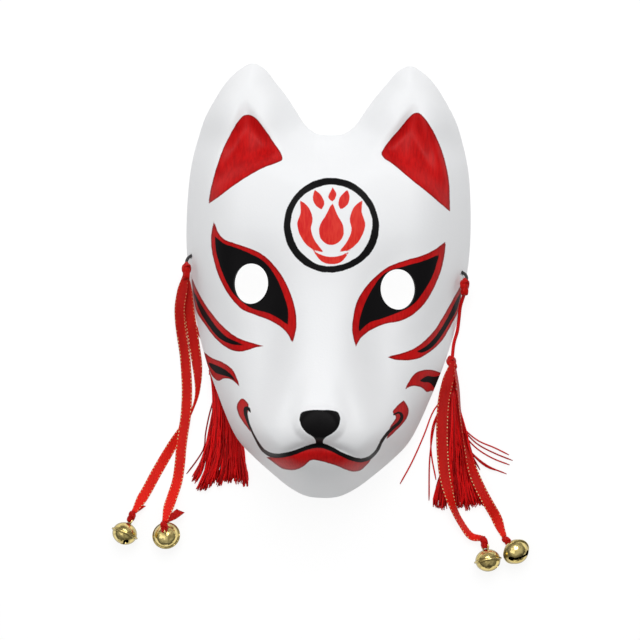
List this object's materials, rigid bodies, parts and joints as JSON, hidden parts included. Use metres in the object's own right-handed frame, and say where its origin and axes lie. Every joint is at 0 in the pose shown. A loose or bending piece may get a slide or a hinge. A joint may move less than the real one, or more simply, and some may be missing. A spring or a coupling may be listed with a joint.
{
  "type": "fox face mask with ribbons, bells and tassels",
  "caption": "A white fox face mask with red and black painted markings, a black elastic, red ribbons ending in brass bells, and red tassels.",
  "frame": {"origin": "on the floor that the mask lies on, under the middle of the face", "axes": "+X to the right of the face as a viewer sees it, +Y from the chin to the ears, +Z out of the face"},
  "size_m": [0.2456, 0.2936, 0.085],
  "materials": {
    "mask": "white satin paint with red and black brushed markings",
    "elastic": "thin round elastic, braided black",
    "ribbon": "red satin with gold thread along both edges",
    "tassel": "glossy red thread",
    "bell": "polished"
  },
  "bodies": {
    "root": {"mask_shell": "mask", "elastic_cord": "elastic", "ribbon_knot_left": "ribbon", "ribbon_knot_right": "ribbon", "ribbon_knot_right_low": "ribbon", "bell_left_far": "bell", "ribbon_tie_left_far": "ribbon", "bell_left_near": "bell", "ribbon_tie_left_near": "ribbon", "bell_right_near": "bell", "ribbon_tie_right_near": "ribbon", "bell_right_far": "bell", "ribbon_tie_right_far": "ribbon", "ribbon_left_front": "ribbon", "ribbon_left_back": "ribbon", "tassel_cord_left": "tassel", "tassel_cord_right": "tassel", "ribbon_right_near": "ribbon", "ribbon_right_far": "ribbon", "tassel_left": "tassel", "tassel_right": "tassel"}
  },
  "joints": []
}
